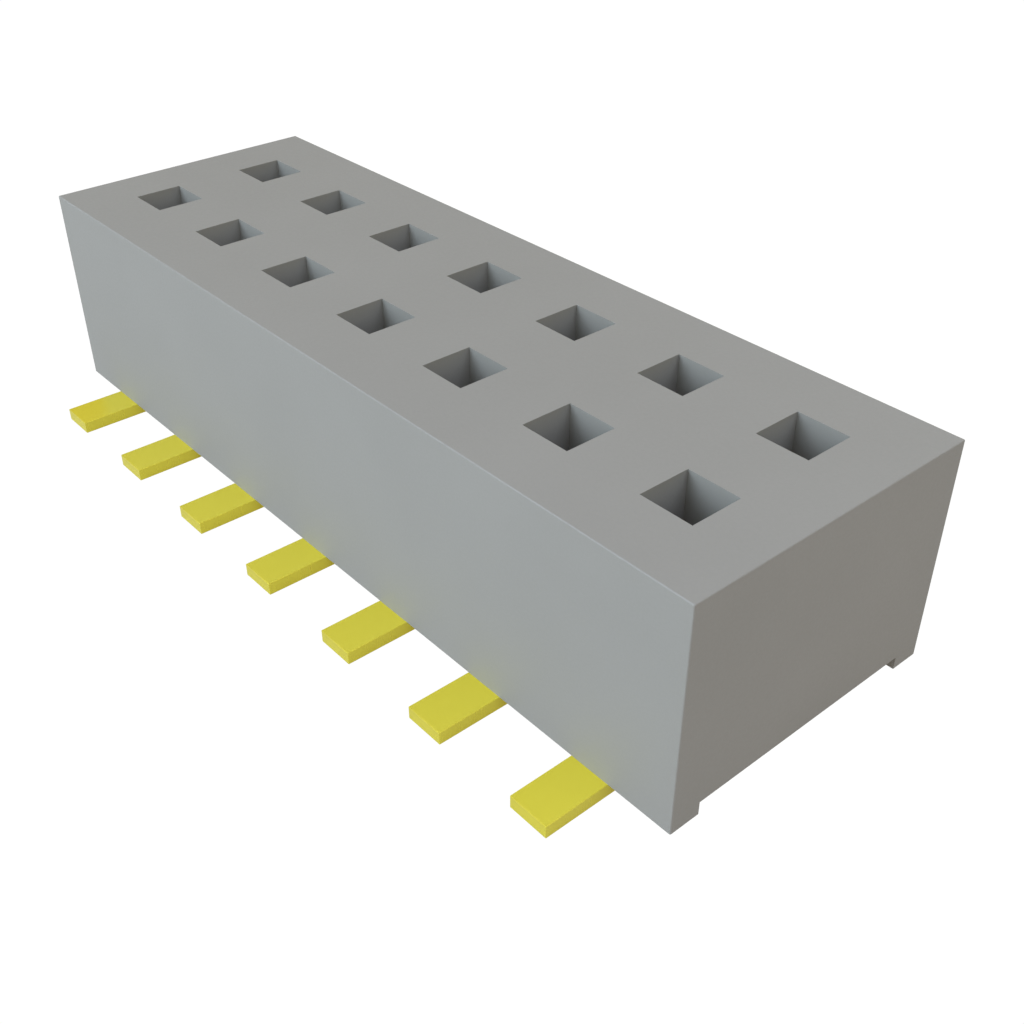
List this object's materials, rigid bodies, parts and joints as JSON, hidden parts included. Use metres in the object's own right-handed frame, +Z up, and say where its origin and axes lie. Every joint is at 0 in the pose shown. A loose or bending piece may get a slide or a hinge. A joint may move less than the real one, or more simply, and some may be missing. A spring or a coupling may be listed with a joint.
{
  "type": "socket strip",
  "caption": "Low-profile surface-mount socket strip: a moulded housing with two rows of square pin entries and a formed contact with a flat solder tail under each entry.",
  "frame": {"origin": "centre of the contact pattern, in the plane of the solder tails' undersides, where the board's surface is", "axes": "+X along the rows of contacts, +Y across them, +Z up from the board towards the mating face"},
  "size_m": [0.0094, 0.0044, 0.0023],
  "materials": {
    "housing_plastic": "fine matte moulded thermoplastic, mid grey",
    "contact_metal": "stamped spring bronze with a bright gold-coloured plating"
  },
  "bodies": {
    "root": {"housing": "housing_plastic", "contact_front_1": "contact_metal", "contact_front_2": "contact_metal", "contact_front_3": "contact_metal", "contact_front_4": "contact_metal", "contact_front_5": "contact_metal", "contact_front_6": "contact_metal", "contact_front_7": "contact_metal", "contact_rear_1": "contact_metal", "contact_rear_2": "contact_metal", "contact_rear_3": "contact_metal", "contact_rear_4": "contact_metal", "contact_rear_5": "contact_metal", "contact_rear_6": "contact_metal", "contact_rear_7": "contact_metal"}
  },
  "joints": []
}
